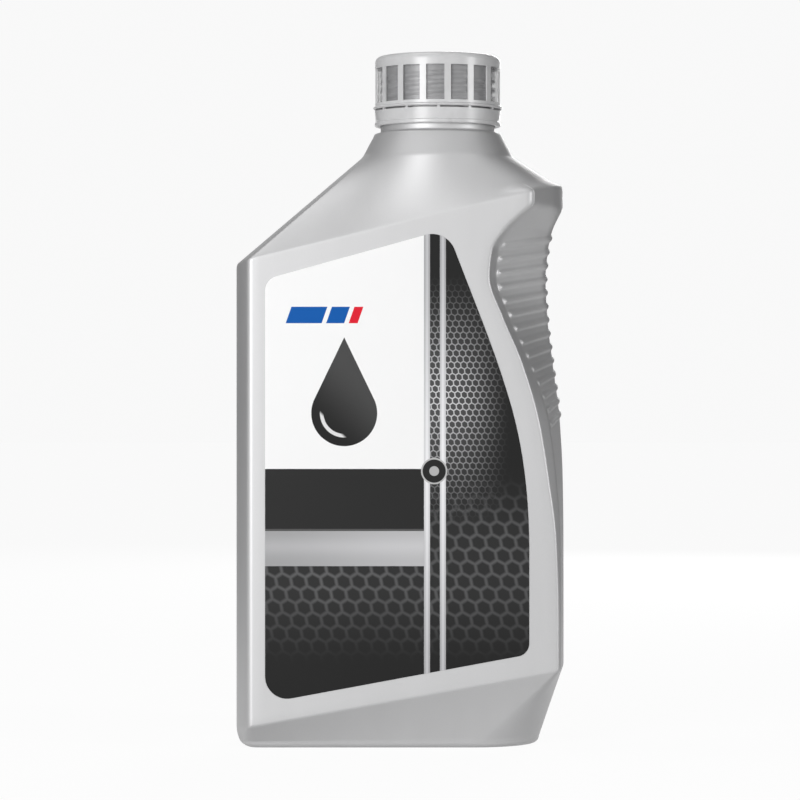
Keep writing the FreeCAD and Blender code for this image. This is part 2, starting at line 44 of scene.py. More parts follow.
# Body, as in the part's source
WIDTH = 111.6
DEPTH = 57.6
WALL = 1.0
SHOULDER_SINK = 0.5         # drop of the hollow's shoulder edge for each millimetre of wall
FOOT_LIFT = 0.3             # rise of the hollow's foot edge for each millimetre of wall
ROOT_SINK = 0.75            # drop of the hollow's neck root for each millimetre of wall
ROOT_SHRINK = 0.8           # and how much narrower it is
SIDE_BULGE = 5.0
SIDE_ROUND = 2.4
EDGE_ROUND = 1.4
EDGE_ROUND_TOP = 3.4        # the same edge where the recess has run out, under the shoulder
EDGE_ROUND_RISE = (168.0, 184.0)
LEAST_ROUND = 0.5           # of any edge of the hollow
FOOT_FILLET = 1.1           # soft inner corner where the recess wall meets the grip
SHOULDER_SOFT = 14.0        # reach over which the ridge over the grip melts into the shoulder
SOFT_FROM, SOFT_TO = -10.0, 20.0    # the melting sets in between these two X
SOFT_SHARE = 0.3            # and over this share of the shoulder
SHOULDER_HEIGHT, SHOULDER_SLOPE = 176.1, 0.24
FOOT_HEIGHT, FOOT_SLOPE = 16.8, 0.182
CORNER_ROUND = 5.0
BASE_DEPTH = 43.0
BASE_RIGHT = 47.5
BASE_STRAIGHT = 26.0
BASE_CORNER = 6.0
HEEL_ROUND = 7.0
FLOOR_ROUND = 2.2
PUSH_UP = 2.6
PUSH_UP_SPREAD = 1.2        # how far its side slopes in for each millimetre of height
RING_WIDTH = 9.5
CREASE_ROUND = 0.7          # how far the edges of the panels are rounded, up and down
LEAST_CREASE = 0.2
FIRST_HEIGHT = 100.0        # guess from which the body's heights settle
SETTLING_ROUNDS = 12

# Grip: height, panel edge, foot of the recess wall, its depth, the spine, the spine's radius
GRIP_STATIONS = np.array((
    (42.0, 52.9, 53.9, 2.4, 55.8, 110.0),
    (70.0, 52.0, 53.7, 2.9, 55.8, 90.0),
    (90.0, 49.5, 52.4, 4.0, 55.6, 50.0),
    (110.0, 46.2, 49.8, 5.2, 54.6, 22.0),
    (130.0, 40.5, 42.6, 5.8, 52.1, 11.0),
    (145.0, 34.2, 36.0, 6.0, 50.4, 7.5),
    (158.0, 29.9, 31.7, 6.0, 49.8, 7.0),
    (167.0, 30.8, 32.6, 5.7, 50.5, 7.5),
    (174.0, 35.2, 36.9, 4.6, 51.9, 10.0),
    (182.0, 43.9, 45.3, 2.4, 55.6, 34.0),
))
RIB_COUNT = 14
RIB_TOP = 171.9
RIB_PITCH = 4.59
RIB_RISE = 4.6
RIB_HALF = 1.25             # half the height of a rounded rib
RIB_PROUD = 0.72
RIB_FULLNESS = 0.9          # power of its section's cosine: below 1 is fuller
RIB_START = 1.3
RIB_END = 1.2               # length over which a rib's end runs out
RIB_MARGIN = 0.5            # how far inside the recess wall's foot a point still is on the grip

# Neck
NECK_X = 12.9
NECK_ROOT, NECK_ROOT_RADIUS = 199.5, 25.8
COLLAR_HEIGHT, COLLAR_RADIUS = 207.0, 21.8
THROAT_RADIUS = 19.5
BEAD_HEIGHT, BEAD_RADIUS = 212.9, 20.3
FINISH_RADIUS = 18.4
MOUTH_HEIGHT, MOUTH_RADIUS = 231.6, 16.4
FINISH_START = 2.7          # from the bead up to the first row of the threaded stretch
FINISH_END = 0.7            # from its last row up to the mouth
FINISH_STEP = 0.3
THREAD_LEAD, THREAD_STARTS, THREAD_TURNS = 6.0, 2, 1.35
THREAD_DEPTH, THREAD_CREST, THREAD_BASE = 1.0, 0.7, 1.5
THREAD_BOTTOM = 219.6
THREAD_RUN_OUT = 0.05       # share of a turn over which a thread's end runs out

# The neck's profile outside and inside: marks by radius and height, with the points past each of them
NECK_PROFILE = (
    (NECK_ROOT_RADIUS, NECK_ROOT, ((0, 0), (-0.5, 0.8))),
    (COLLAR_RADIUS, COLLAR_HEIGHT, ((1.2, -2.3), (0.3, -0.7), (0, 0), (-0.3, 0.5), (-0.9, 0.7))),
    (THROAT_RADIUS, COLLAR_HEIGHT, ((0.5, 0.9), (0.1, 1.1), (0, 1.5))),
    (THROAT_RADIUS, BEAD_HEIGHT, ((0, -0.9),)),
    (BEAD_RADIUS, BEAD_HEIGHT, ((-0.2, -0.4), (0, -0.1), (-0.1, 0.3))),
    (THROAT_RADIUS, BEAD_HEIGHT, ((0, 1.2),)),
    (FINISH_RADIUS, BEAD_HEIGHT, ((0.2, 1.9), (0, 2.3))),
)
MOUTH_PROFILE = (
    (FINISH_RADIUS, MOUTH_HEIGHT, ((0, -0.6), (-0.15, -0.2), (-0.5, 0))),
    (MOUTH_RADIUS, MOUTH_HEIGHT, ((0.3, 0), (0, -0.3))),
    (MOUTH_RADIUS, COLLAR_HEIGHT, ((0, 2.2),)),
    (COLLAR_RADIUS, COLLAR_HEIGHT, ((-1.3, -1.0),)),
)

# Cap, and the seam of the mould
CAP_PANEL_BOTTOM, CAP_PANEL_TOP = 217.9, 229.8
CAP_PANEL_EDGE = 0.2        # height over which a panel's finish turns into the rim's
CAP_RECESS_RADIUS = 21.0    # between the panels' floor and the ribs' crest
CAP_RECESS_EDGE = 0.3
SEAM_HALF, SEAM_EDGE = 0.12, 0.35
SEAM_TOP = 205.5

# Label print, measured on the front panel
PRINT_LEFT = -45.0
PRINT_EDGE = 0.05
FIELD_RIGHT = 8.0           # right edge of the white field and of the bands
FIELD_BOTTOM = 93.9
BAND_BOTTOM = 73.9          # black band below the white field
STRAP_TOP, STRAP_BOTTOM = 73.2, 61.5
STRAP_SHEEN = (66.0, 70.0, 3.0)     # from, to and the ease at both ends, as in the glows below
STRIPE_WIDTH = 2.0
STRIPE_STARTS = (8.0, 13.3)
STRIPE_SHEEN_INSET, STRIPE_SHEEN_EDGE = 0.6, 0.4
STRIPE_GLOW = (60.0, 130.0, 40.0)
DISC_X, DISC_Z, DISC_RADIUS = 11.4, 93.2, 4.4
DISC_RIM, DISC_DOT, DISC_EDGE = 0.525, 1.625, 0.075
CELL_FINE, FINE_LEAN, FINE_SQUASH = 2.1, 0.12, 0.92
CELL_WIDE, WIDE_LEAN = 5.0, 0.2
FINE_GLOW = (96.0, 138.0, 22.0)
WIDE_GLOW = (42.0, 80.0, 14.0)
GLOW_END, GLOW_FULL = 37.0, 16.0    # X where the fine cells' light ends, and where it is full
DROP_X, DROP_Z, DROP_RADIUS = -18.6, 112.5, 11.0
DROP_TIP = 2.3              # height of the tip over the circle's middle, in radii
GLINT_RADII, GLINT_EDGE = (6.9, 8.1), 0.1
GLINT_END, GLINT_END_EDGE = -7.75, 0.75
BAR_LOW, BAR_HIGH, BAR_SLANT = 142.5, 148.0, 0.35
BLUE, RED = (0.0, 0.095, 0.39, 1), (0.72, 0.012, 0.03, 1)
BARS = (                    # start, width and colour
    (-88.0, 12.0, BLUE),
    (-74.5, 6.0, BLUE),
    (-67.0, 3.0, RED),
)


# Rows and columns of the bottle's surface

def shares(count, power=1.0):
    """Evenly spaced shares from 0 up to, and without, 1, drawn towards 0 by the power."""
    return (np.arange(count) / count) ** power


COLUMNS = {                 # shares of each stretch of the front half of the plan
    "bow": shares(12),
    "side_corner": shares(7),
    "panel": shares(30),
    "edge": shares(7),
    "wall": shares(3),
    "fillet": shares(6),
    "floor": shares(20, 1.25),
    "nose": shares(14),
}
SHARES = np.concatenate(list(COLUMNS.values()))
HALF_COUNT = len(SHARES)
BODY_ROWS = np.concatenate((    # shares of the body's height, close together along the ribbed grip
    np.linspace(0, 0.48, 26),
    np.linspace(0.485, 0.93, 150),
    np.linspace(0.94, 1, 8),
))
HOLLOW_ROWS = np.linspace(0, 1, 40)
ROLL_TURNS = np.radians((90, 75, 60, 45, 30, 15))    # round the base's edge, from below


def spans():
    """The columns of each stretch, one stretch after the other."""
    ends = np.cumsum([len(part) for part in COLUMNS.values()])
    return {name: slice(end - len(COLUMNS[name]), end) for name, end in zip(COLUMNS, ends)}


SPANS = spans()


def ease(t):
    """0 up to 0, 1 from 1 on, and an even rise between them."""
    t = np.clip(t, 0, 1)
    return t * t * (3 - 2 * t)


def station(z, column):
    """Value of one column of the grip's stations at heights z: a Hermite cubic through the stations whose
    tangents are the harmonic means of the slopes beside them, so it never overshoots."""
    heights, values = GRIP_STATIONS[:, 0], GRIP_STATIONS[:, column]
    slopes = np.diff(values) / np.diff(heights)
    product = slopes[:-1] * slopes[1:]
    total = np.where(product > 0, slopes[:-1] + slopes[1:], 1)
    inner = np.where(product > 0, 2 * product / total, 0)
    tangents = np.concatenate(([0.0], inner, slopes[-1:]))
    z = np.clip(z, heights[0], heights[-1])
    low = np.clip(np.searchsorted(heights, z, side="right") - 1, 0, len(slopes) - 1)
    span = heights[low + 1] - heights[low]
    t = (z - heights[low]) / span
    return (values[low] * (2 * t**3 - 3 * t**2 + 1) + values[low + 1] * (3 * t**2 - 2 * t**3)
            + span * tangents[low] * (t**3 - 2 * t**2 + t) + span * tangents[low + 1] * (t**3 - t**2))


def unit(vector):
    return vector / np.abs(vector)


def cross(a, b):
    return a.real * b.imag - a.imag * b.real


def meet(p, p_way, q, q_way):
    """Crossing of two lines, each a point and a direction."""
    return p + p_way * (cross(q - p, q_way) / cross(p_way, q_way))


def round_corner(before, corner, after, cut, t):
    """Quadratic curve from a cut before the corner to a cut after it; the corner is its control point."""
    start = corner + unit(before - corner) * cut
    end = corner + unit(after - corner) * cut
    return start * (1 - t)**2 + corner * (2 * t * (1 - t)) + end * t**2


def round_cut(before, corner, after, radius):
    """How far from a corner an arc of that radius touches its two lines."""
    turn = np.angle((before - corner) / (after - corner))
    return radius / np.tan(np.abs(turn) / 2)


def side_outline(half, corner, inset):
    """Columns of the bowed side and of its corner, arcs about two centres, and X where the panel begins."""
    bow_radius = (DEPTH**2 / 4 + SIDE_BULGE**2) / (2 * SIDE_BULGE)
    centre = bow_radius - WIDTH / 2
    radius = bow_radius - inset
    corner_x = centre - math.sqrt((radius - corner)**2 - (half - corner)**2)
    corner_centre = complex(corner_x, corner - half)
    meeting = np.angle(corner_centre - centre) % (2 * math.pi)
    bow = centre + radius * np.exp(1j * (math.pi + (meeting - math.pi) * COLUMNS["bow"]))
    turn = meeting + (1.5 * math.pi - meeting) * COLUMNS["side_corner"]
    return np.concatenate((bow, corner_centre + corner * np.exp(1j * turn))), corner_x


def grip_marks(z, inset):
    """Panel edge, foot of the recess wall, tangent point on the nose, nose centre and nose radius."""
    edge_x, foot_x, depth, spine_x, nose = (station(z, column) for column in range(1, 6))
    half = DEPTH / 2
    edge = edge_x - 1j * half
    foot = foot_x + 1j * (depth - half)
    centre = spine_x - nose + 0j

    def tangent(start, radius):
        reach = centre - start
        turn = np.angle(reach) - np.arcsin(radius / np.abs(reach))
        return start + np.exp(1j * turn) * np.sqrt(np.abs(reach)**2 - radius**2)

    wall_way = unit(foot - edge)
    floor_way = unit(tangent(foot, nose) - foot)
    wall_point = edge + 1j * wall_way * inset
    floor_point = foot + 1j * floor_way * inset
    new_edge = meet(1j * (inset - half), 1, wall_point, wall_way)
    new_foot = meet(wall_point, wall_way, floor_point, floor_way)
    return new_edge, new_foot, tangent(new_foot, nose - inset), centre, nose - inset


def edge_rounding(z, inset):
    """Radius of the panel's edge along the grip, which eases up to a greater one under the shoulder."""
    low, high = EDGE_ROUND_RISE
    rise = (EDGE_ROUND_TOP - EDGE_ROUND) * ease((z - low) / (high - low))
    return np.maximum(EDGE_ROUND + rise - inset, LEAST_ROUND)


def softened(plan, reach):
    """Each point of a closed outline moved to the outline's mean within a reach along it, both ways."""
    steps = np.abs(np.roll(plan, -1) - plan)
    along = np.concatenate(([0.0], np.cumsum(steps)[:-1]))
    places = along[:, None] + np.linspace(-reach, reach, 21)
    x = np.interp(places, along, plan.real, period=steps.sum())
    y = np.interp(places, along, plan.imag, period=steps.sum())
    return x.mean(axis=1) + 1j * y.mean(axis=1)


def half_plan(z, inset):
    """Front half of the body's plan at heights z, of rows by columns. Each stretch has its own curve."""
    half = DEPTH / 2 - inset
    side, panel_start = side_outline(half, max(SIDE_ROUND - inset, LEAST_ROUND), inset)
    corner = complex(panel_start, -half)
    edge, foot, tangent, centre, nose = grip_marks(z, inset)
    cut = round_cut(corner, edge, foot, edge_rounding(z, inset))
    wall_start = edge + unit(foot - edge) * cut
    wall_end = foot - unit(foot - edge) * FOOT_FILLET
    floor_start = foot + unit(tangent - foot) * FOOT_FILLET
    t = SHARES
    curves = {
        "panel": corner + (edge - cut - corner) * t,
        "edge": round_corner(corner, edge, foot, cut, t),
        "wall": wall_start + (wall_end - wall_start) * t,
        "fillet": round_corner(edge, foot, tangent, FOOT_FILLET, t),
        "floor": floor_start + (tangent - floor_start) * t,
        "nose": centre + nose * np.exp(1j * np.angle(tangent - centre) * (1 - t)),
    }
    plan = np.empty(z.shape, complex)
    plan[:, :len(side)] = side
    for name, curve in curves.items():
        plan[:, SPANS[name]] = curve[:, SPANS[name]]
    return plan


def closed(front, spine):
    """Whole outline: the front half, the spine's column, and the mirrored front without its first one."""
    return np.concatenate((front, spine, np.conj(front[:, :0:-1])), axis=1)


def body_plan(z, inset):
    """The body's closed plan at heights z of rows by all columns, anticlockwise from the bow's middle."""
    spine = station(z[:, HALF_COUNT:HALF_COUNT + 1], 4) - inset + 0j
    return closed(half_plan(z[:, :HALF_COUNT], inset), spine)


def base_plan(foot_line, inset):
    """The outline that the bottle stands on, each column below its own point of the foot's outline."""
    half = BASE_DEPTH / 2 - inset
    right = BASE_RIGHT - inset
    end_radius = (half**2 + (right - BASE_STRAIGHT)**2) / (2 * (right - BASE_STRAIGHT))
    end_centre = right - end_radius
    end_angle = math.atan2(half, BASE_STRAIGHT - end_centre)
    side, panel_start = side_outline(half, BASE_CORNER - inset, inset)
    panel = panel_start + (BASE_STRAIGHT - panel_start) * COLUMNS["panel"] - 1j * half
    grip = foot_line[len(side) + len(panel):HALF_COUNT]
    reach = np.minimum(1, np.abs(grip.imag) / (DEPTH / 2 - inset))
    angle = end_angle * (1 - np.sqrt(1 - reach))
    end = end_centre + end_radius * np.exp(-1j * angle)
    front = np.concatenate((side, panel, end))
    return closed(front[None], np.array([[right + 0j]]))[0]


def raised(plan, height):
    """Points of a plan at a height, as rows by columns by XYZ."""
    return np.stack((plan.real, plan.imag, np.broadcast_to(height, plan.shape)), axis=-1)


def drawn_in(plan, amount):
    """The base's outline drawn in towards its middle by an amount on each side."""
    middle_x = (BASE_RIGHT - WIDTH / 2) / 2
    x_share = 1 - amount / (BASE_RIGHT - middle_x)
    y_share = 1 - amount / (BASE_DEPTH / 2)
    return middle_x + (plan.real - middle_x) * x_share + 1j * plan.imag * y_share


def between(low, high, steps):
    """Straight rows between two rings of points, without the last."""
    t = np.arange(steps)[:, None, None] / steps
    return low + (high - low) * t


def crease(below, edge, above, cut, steps=5):
    """Rows that round an edge between two rings: a quadratic curve from a cut below it to one above it."""

    def away(ring):
        way = ring - edge
        return edge + way * np.minimum(1, cut / np.linalg.norm(way, axis=-1, keepdims=True))

    t = np.arange(steps + 1)[:, None, None] / steps
    return away(below) * (1 - t)**2 + edge * (2 * t * (1 - t)) + away(above) * t**2


def round_off(points, before, corner, after, radius):
    """Draws what stands outside an arc in a corner of the front view back onto the arc, along its radii."""
    view = points[..., 0] + 1j * points[..., 2]
    cut = round_cut(before, corner, after, radius)
    half_turn = np.abs(np.angle((before - corner) / (after - corner))) / 2
    centre = corner + unit(unit(before - corner) + unit(after - corner)) * radius / np.sin(half_turn)
    start = corner + unit(before - corner) * cut
    end = corner + unit(after - corner) * cut
    turn = (view - centre) / (corner - centre)
    limit = np.abs(np.angle((start - centre) / (end - centre))) / 2
    inside = (np.abs(np.angle(turn)) < limit) & (np.abs(view - centre) > radius)
    rounded = centre + unit(np.where(inside, view - centre, 1)) * radius
    view = np.where(inside, rounded, view)
    return np.stack((view.real, points[..., 1], view.imag), axis=-1)


def rib_height(points):
    """How far the grip stands out at each point: a squared-cosine ridge for each rib, which rises towards
    the spine and runs out near the recess wall."""
    spine_height = points[..., 2] + RIB_RISE / (DEPTH / 2) * np.abs(points[..., 1])
    lowest = RIB_TOP - (RIB_COUNT - 1) * RIB_PITCH
    index = np.clip(np.round((spine_height - lowest) / RIB_PITCH), 0, RIB_COUNT - 1)
    offset = (spine_height - lowest - index * RIB_PITCH) / RIB_HALF
    ridge = np.cos(np.clip(offset, -1, 1) * math.pi / 2)**RIB_FULLNESS
    marks = grip_marks(points[..., 2], 0)
    from_wall = np.abs(points[..., 0] - 1j * np.abs(points[..., 1]) - marks[1])
    end = np.clip((from_wall - RIB_START) / RIB_END, 0, 1)
    on_grip = points[..., 0] > marks[1].real - RIB_MARGIN
    return RIB_PROUD * ridge * np.sqrt(end * (2 - end)) * on_grip


def outward(plan):
    """Outward way of each column of an anticlockwise plan, square to the line through its neighbours."""
    return unit(-1j * (np.roll(plan, -1, axis=-1) - np.roll(plan, 1, axis=-1)))


def body_rings(inset, heights):
    """Plans and rings of the body between its two slanted edges.

    A point's height follows from its X and its X from its height, so both settle round by round.
    """
    top = SHOULDER_HEIGHT - SHOULDER_SINK * inset
    low = FOOT_HEIGHT + FOOT_LIFT * inset
    z = np.full((len(heights), 2 * HALF_COUNT), FIRST_HEIGHT)
    for _ in range(SETTLING_ROUNDS):
        plan = body_plan(z, inset)
        bottom = low + FOOT_SLOPE * plan.real
        z = bottom + (top + SHOULDER_SLOPE * plan.real - bottom) * heights[:, None]
    return plan, raised(plan, z)


def base_rings(base, inset):
    """Rings from the middle of the hollow under the bottle to the ring that it stands on, and up its
    quarter-circle roll."""
    roll = []
    for turn in ROLL_TURNS:
        rolled = drawn_in(base, FLOOR_ROUND * (1 - math.cos(turn)))
        roll.append(raised(rolled, inset + FLOOR_ROUND * (1 - math.sin(turn))))
    ring = raised(drawn_in(base, RING_WIDTH - inset), inset)
    spread = PUSH_UP_SPREAD * PUSH_UP
    hollow = raised(drawn_in(base, RING_WIDTH + spread - inset), inset + PUSH_UP)
    middle = hollow.mean(axis=0) + 0 * hollow
    return np.concatenate((
        between(middle, hollow, 8)[1:],
        between(hollow, ring, 3),
        between(ring, roll[0], 3),
        np.array(roll),
    ))


def shoulder_rings(start, soft_start, root, steps):
    """Rings straight up to the neck's root, which melt from the panels' edge into the softer outline."""
    slope = between(start, root, steps)[1:]
    soft_slope = between(soft_start, root, steps)[1:]
    return slope + (soft_slope - slope) * ease(np.arange(1, steps) / (SOFT_SHARE * steps))[:, None, None]


def rounded_corners(rings, inset, root_radius, root_height):
    """The rings with both shoulder corners and the heel rounded, as seen from the front."""
    half = WIDTH / 2 - inset
    top = SHOULDER_HEIGHT - SHOULDER_SINK * inset
    corner = max(CORNER_ROUND - inset, LEAST_ROUND)
    halfway = 1j * SHOULDER_HEIGHT / 2
    for side in (-1, 1):
        shoulder_corner = side * half + 1j * (top + side * SHOULDER_SLOPE * half)
        neck_side = NECK_X + side * root_radius + 1j * root_height
        rings = round_off(rings, side * half + halfway, shoulder_corner, neck_side, corner)
    return round_off(rings, halfway - half, -half + 1j * inset, 1j * inset, HEEL_ROUND - inset)


def skin(inset, heights, foot_steps, shoulder_steps):
    """Rings of the bottle's skin, set in by an amount, from the middle of the base to the neck's root, and
    each column's angle about the neck.

    The shoulder and foot are straight between the body's slanted edges and the neck's root and the base.
    """
    plan, body = body_rings(inset, heights)
    top_plan = plan[-1]
    near_grip = np.clip((top_plan.real - SOFT_FROM) / (SOFT_TO - SOFT_FROM), 0, 1)
    soft_plan = top_plan + (softened(top_plan, SHOULDER_SOFT) - top_plan) * near_grip
    soft_height = SHOULDER_HEIGHT - SHOULDER_SINK * inset + SHOULDER_SLOPE * soft_plan.real
    angle = np.angle(soft_plan - NECK_X)
    root_height = NECK_ROOT - ROOT_SINK * inset
    root_radius = NECK_ROOT_RADIUS - ROOT_SHRINK * inset
    root = raised(NECK_X + root_radius * np.exp(1j * angle), root_height)
    base = base_plan(plan[0], inset)
    edge = raised(base, inset + FLOOR_ROUND)
    if inset == 0:
        body = body + raised(outward(plan) * rib_height(body), 0.0)
    cut = max(CREASE_ROUND - inset / 2, LEAST_CREASE)
    below = crease(edge, body[0], body[1], cut)
    above = crease(body[-2], body[-1], root, cut)
    rings = np.concatenate((
        base_rings(base, inset),
        between(edge, below[0], foot_steps),
        below,
        body[1:-1],
        above,
        shoulder_rings(above[-1], raised(soft_plan, soft_height), root, shoulder_steps),
    ))
    return rounded_corners(rings, inset, root_radius, root_height), angle


def thread_height(angle, z):
    """How far the thread stands out: a trapezium round each start's helix, run out at both ends."""
    height = np.zeros(np.broadcast(angle, z).shape)
    for start in range(THREAD_STARTS):
        turn = (angle / (2 * math.pi) - start / THREAD_STARTS) % 1
        for lap in range(math.ceil(THREAD_TURNS)):
            along = turn + lap
            off = np.abs(z - THREAD_BOTTOM - THREAD_LEAD * along)
            ridge = np.clip((THREAD_BASE / 2 - off) / ((THREAD_BASE - THREAD_CREST) / 2), 0, 1)
            to_end = np.minimum(along, THREAD_TURNS - along)
            height = np.maximum(height, ridge * np.clip(to_end / THREAD_RUN_OUT, 0, 1))
    return THREAD_DEPTH * height


def profile(marks):
    """Points of a profile, each a radius and a height past the mark that it belongs to."""
    return np.array([(radius + out, height + up) for radius, height, points in marks for out, up in points])


def neck_rings(angle):
    """Rings of the neck from its root to the mouth and down the bore: a profile turned about its axis."""
    finish = np.arange(BEAD_HEIGHT + FINISH_START, MOUTH_HEIGHT - FINISH_END, FINISH_STEP)
    threaded_stretch = np.stack((np.full(len(finish), FINISH_RADIUS), finish), axis=-1)
    points = np.concatenate((profile(NECK_PROFILE), threaded_stretch, profile(MOUTH_PROFILE)))
    radii, heights = points[:, :1], points[:, 1:]
    threaded = radii == FINISH_RADIUS
    radius = radii + threaded * thread_height(angle[None], heights)
    return raised(NECK_X + radius * np.exp(1j * angle), heights)


def surface(name, rings):
    """Closed mesh from rings of points, all of one count: quads between rings and a fan at each end."""
    rows, count = rings.shape[:2]
    corner = np.arange(rows * count).reshape(rows, count)
    after = np.roll(corner, -1, axis=1)
    quads = np.stack((corner[:-1], after[:-1], after[1:], corner[1:]), axis=-1).reshape(-1, 4)
    poles = np.stack((rings[0].mean(axis=0), rings[-1].mean(axis=0)))
    low = np.stack((after[0], corner[0], np.full(count, rows * count)), axis=-1)
    high = np.stack((corner[-1], after[-1], np.full(count, rows * count + 1)), axis=-1)
    mesh = bpy.data.meshes.new(name)
    points = np.concatenate((rings.reshape(-1, 3), poles)) * MM
    mesh.from_pydata(points.tolist(), [], quads.tolist() + low.tolist() + high.tolist())
    mesh.shade_smooth()
    piece = bpy.data.objects.new(name, mesh)
    bpy.context.scene.collection.objects.link(piece)
    return piece


def bottle_shell():
    """The blown bottle: outer skin, neck, bore and inner skin as one closed surface."""
    outer, angle = skin(0.0, BODY_ROWS, foot_steps=14, shoulder_steps=26)
    inner, _ = skin(WALL, HOLLOW_ROWS, foot_steps=6, shoulder_steps=8)
    shell = surface("bottle_shell", np.concatenate((outer, neck_rings(angle), inner[::-1])))
    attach(shell, "bottle")
    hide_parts("bottle")
    return shell


# Shader nodes written as sums

class Signal:
    """A value in a material. A sum of signals and numbers adds its Math nodes."""

    def __init__(self, finish, socket):
        self.finish = finish
        self.socket = socket

    def __add__(self, other):
        return self.finish.maths("ADD", self, other)

    def __sub__(self, other):
        return self.finish.maths("SUBTRACT", self, other)

    def __mul__(self, other):
        return self.finish.maths("MULTIPLY", self, other)

    def __truediv__(self, other):
        return self.finish.maths("DIVIDE", self, other)

    def __rsub__(self, other):
        return self.finish.maths("SUBTRACT", other, self)

    def __rtruediv__(self, other):
        return self.finish.maths("DIVIDE", other, self)

    def __abs__(self):
        return self.finish.maths("ABSOLUTE", self)

    def __mod__(self, other):
        return self.finish.maths("FLOORED_MODULO", self, other)

    __radd__ = __add__
    __rmul__ = __mul__


class Finish:
    """A material on a Principled shader, whose nodes are added one call at a time."""

    def __init__(self, name, constants):
        self.material = bpy.data.materials.new(name)
        self.material.use_nodes = True
        self.tree = self.material.node_tree
        self.shader = self.tree.nodes["Principled BSDF"]
        for socket, value in constants.items():
            self.shader.inputs[socket].default_value = value
        self.place = self.node("ShaderNodeTexCoord", out="Object")
        axes = self.node("ShaderNodeSeparateXYZ", {}, {0: self.place}).socket.node.outputs
        self.x, self.y, self.z = (Signal(self, axes[axis]) * (1 / MM) for axis in "XYZ")

    def node(self, kind, settings=None, sockets=None, out=0):
        """Adds a node, sets its settings, fills its sockets with values or links, and gives one output."""
        made = self.tree.nodes.new(kind)
        for name, value in (settings or {}).items():
            setattr(made, name, value)
        for key, value in (sockets or {}).items():
            if isinstance(value, Signal):
                self.tree.links.new(value.socket, made.inputs[key])
            else:
                made.inputs[key].default_value = value
        return Signal(self, made.outputs[out])

    def maths(self, operation, *values):
        return self.node("ShaderNodeMath", {"operation": operation}, dict(enumerate(values)))

    def step(self, value, low, high):
        """0 below low, 1 above high and an even ease between them; low may be the greater."""
        return self.node("ShaderNodeMapRange", {"interpolation_type": "SMOOTHSTEP"},
                         {"Value": value, "From Min": low, "From Max": high})

    def above(self, value, limit, soft=0.06):
        """0 under a limit and 1 over it, eased over a soft distance on both sides."""
        return self.step(value, limit - soft, limit + soft)

    def below(self, value, limit, soft=0.06):
        """1 under a limit and 0 over it, eased in the same way."""
        return self.step(value, limit + soft, limit - soft)

    def window(self, value, low, high, soft=0.06):
        """1 between two limits."""
        return self.above(value, low, soft) * self.below(value, high, soft)

    def noise(self, scale, detail=2.0, roughness=0.5, stretch=(1, 1, 1)):
        place = self.node("ShaderNodeMapping", {}, {"Vector": self.place, "Scale": stretch})
        return self.node("ShaderNodeTexNoise", {}, {"Vector": place, "Scale": scale, "Detail": detail,
                                                    "Roughness": roughness})

    def mix(self, factor, first, second):
        """Colour between two colours."""
        return self.node("ShaderNodeMix", {"data_type": "RGBA"}, {0: factor, 6: first, 7: second}, out=2)

    def feed(self, socket, value):
        self.tree.links.new(value.socket, self.shader.inputs[socket])

    def bump(self, height, strength):
        """Feeds Normal with a height in millimetres."""
        self.feed("Normal", self.node("ShaderNodeBump", {}, {"Height": height, "Distance": MM,
                                                             "Strength": strength}))


def grey(value, tint=1.0):
    """Linear grey with its blue times a tint."""
    return (value, value, value * tint, 1.0)


SILVER_DEEP, SILVER_PALE = grey(0.32, 1.01), grey(0.64, 1.01)
CAP_SOLID = (grey(0.58, 1.01), grey(0.74, 1.01))
# Darker greys of the thin panels between the cap's ribs: painted shade in the recesses, not a different
# plastic.
CAP_PANEL_SHADE = (grey(0.36, 1.02), grey(0.5, 1.02))
FOAM_PALE, FOAM_PORE = (0.86, 0.86, 0.84, 1), (0.7, 0.7, 0.68, 1)
OIL_PALE, OIL_DEEP = (0.62, 0.30, 0.05, 1), (0.42, 0.17, 0.02, 1)
OIL_FADE_TOP = 180.0
WHITE_INK, BLACK_INK, COMB_INK = grey(0.92), grey(0.012), grey(0.006)
COMB_LIGHT = grey(0.62, 1.02)
STRAP_INKS = (grey(0.36, 1.02), grey(0.62, 1.02))
STRIPE_INKS = (grey(0.16, 1.05), grey(0.88, 1.02))
DROP_INKS = (grey(0.008), grey(0.06))
RIM_INK = grey(0.08)
DISC_INKS = (grey(0.5), grey(0.01), grey(0.45))     # rim, disc and dot
GLINT_INK = grey(0.75)


def silver_plastic():
    """Satin pearl polyethylene: fine flakes, faint flow lines down it, and a mould seam at both sides."""
    finish = Finish("silver_plastic", {"Metallic": 0.42, "IOR": 1.5})
    flakes = finish.noise(scale=2600, detail=1.0)
    mottle = finish.noise(scale=45, detail=3.0, roughness=0.55, stretch=(1, 1, 0.35))
    flow = finish.noise(scale=160, stretch=(1, 1, 0.06))
    shade = flakes * 0.10 + mottle * 0.12 + flow * 0.06 + 0.36
    finish.feed("Base Color", finish.mix(shade, SILVER_DEEP, SILVER_PALE))
    finish.feed("Roughness", 0.41 + mottle * 0.06 + flakes * 0.08)
    seam = finish.step(abs(finish.y), SEAM_EDGE, SEAM_HALF) * finish.below(finish.z, SEAM_TOP, soft=0.5)
    finish.bump(flakes * 0.02 + mottle * 0.12 + seam * 0.18, strength=0.5)
    return finish.material


